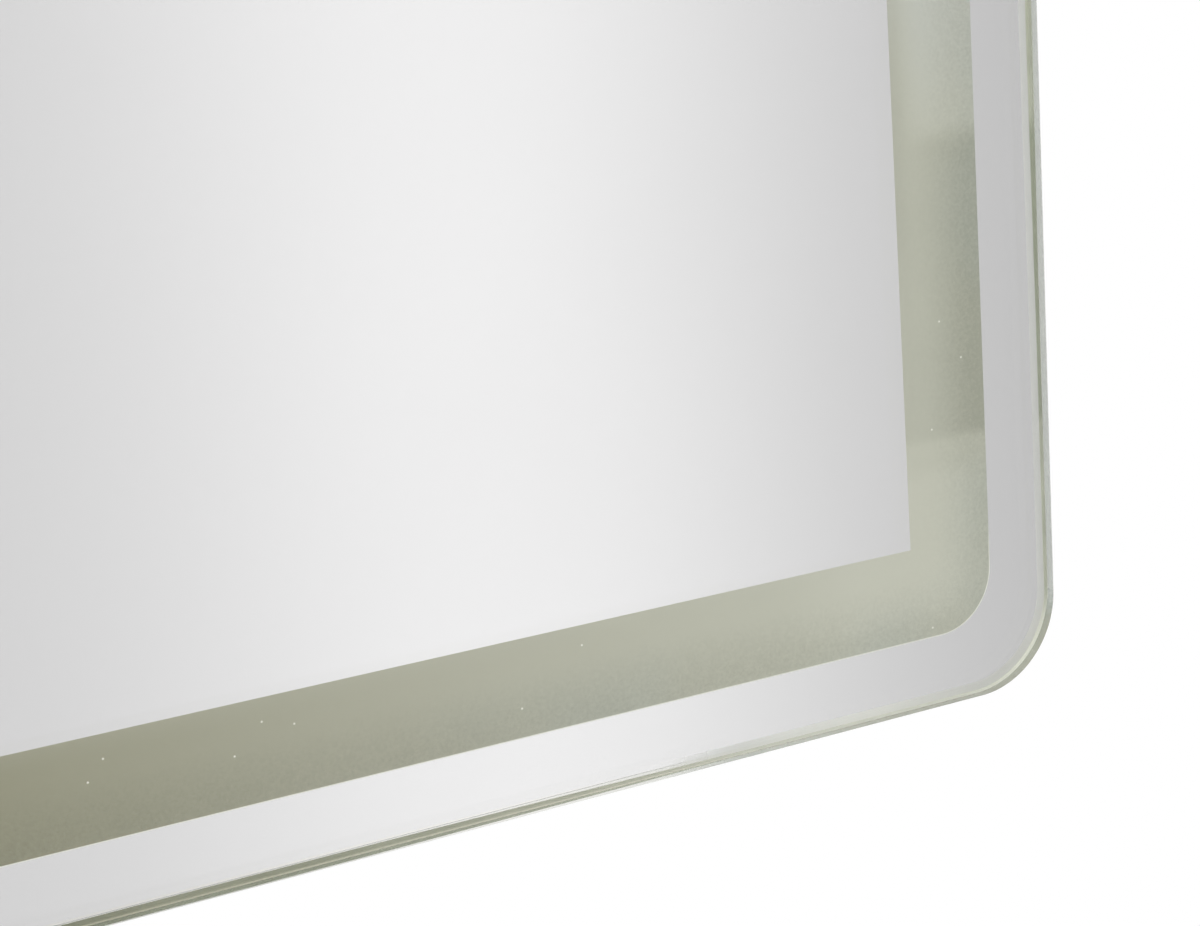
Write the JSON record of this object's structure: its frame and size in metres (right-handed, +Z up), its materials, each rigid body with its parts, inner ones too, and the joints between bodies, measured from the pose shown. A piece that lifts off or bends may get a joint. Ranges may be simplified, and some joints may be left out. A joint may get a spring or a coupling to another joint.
{
  "type": "led arch mirror",
  "caption": "Wall-hung arched bathroom mirror with a frosted light band round its edge, a shallow lit housing and a hook rail that it lifts off.",
  "frame": {"origin": "middle of the wall rail's screw line, on the wall plane", "axes": "+X to the right seen from the front, +Y into the wall, +Z up; the mirror faces -Y"},
  "size_m": [0.6, 0.0381, 0.8999],
  "materials": {
    "glass": "clear float glass with a rounded polished edge",
    "silvering": "silvered mirror layer",
    "frosted_glass": "sandblasted glass, matt and finely grained",
    "foam_tape": "white acrylic foam",
    "aluminium": "satin anodised",
    "rivet_metal": "plain aluminium",
    "gasket_rubber": "closed-cell foam rubber",
    "galvanised_sheet": "zinc-coated sheet steel",
    "zinc_steel": "bright zinc plate",
    "strip_board": "white flexible circuit",
    "led_phosphor": "phosphor over a white package",
    "driver_plastic": "moulded white plastic",
    "circuit_board": "green solder mask",
    "black_rubber": "moulded black rubber",
    "terminal_plastic": "cream nylon",
    "terminal_brass": "plain brass",
    "white_lead": "white insulated lead",
    "red_lead": "red insulated lead",
    "earth_sleeve": "green and yellow insulated lead",
    "heater_film": "carbon heating film under clear foil"
  },
  "bodies": {
    "rail": {"wall_rail": "aluminium"},
    "mirror": {"mirror_glass": "glass", "silver_border": "silvering", "silver_centre": "silvering", "frosted_band": "frosted_glass", "touch_ring": "frosted_glass", "glazing_tape": "foam_tape", "frame": "aluminium", "splice_plate": "aluminium", "splice_rivets": "rivet_metal", "panel_gasket": "gasket_rubber", "back_panel": "galvanised_sheet", "panel_screws": "zinc_steel", "led_strip": "strip_board", "led_chips": "led_phosphor", "driver_case": "driver_plastic", "driver_lid": "driver_plastic", "driver_board": "circuit_board", "driver_screws": "zinc_steel", "wiring_box": "galvanised_sheet", "lead_bushings": "black_rubber", "wiring_hatch": "galvanised_sheet", "hatch_screws": "zinc_steel", "cable_grommet": "black_rubber", "terminal_block": "terminal_plastic", "terminal_screws": "terminal_brass", "earth_lug": "terminal_brass", "earth_screw": "terminal_brass", "supply_lead": "white_lead", "strip_lead": "red_lead", "sensor_lead": "white_lead", "demister_lead": "white_lead", "earth_lead": "earth_sleeve", "cable_clips": "driver_plastic", "touch_sensor_pad": "foam_tape", "touch_sensor_board": "circuit_board", "demister_pad": "heater_film", "hanging_rail": "aluminium", "rail_rivets": "rivet_metal", "bumpers": "black_rubber"}
  },
  "joints": [
    {"name": "lift_off", "type": "slide", "parent": "rail", "child": "mirror", "axis": [0, 0, 1], "range_m": [0, 0.018]}
  ]
}
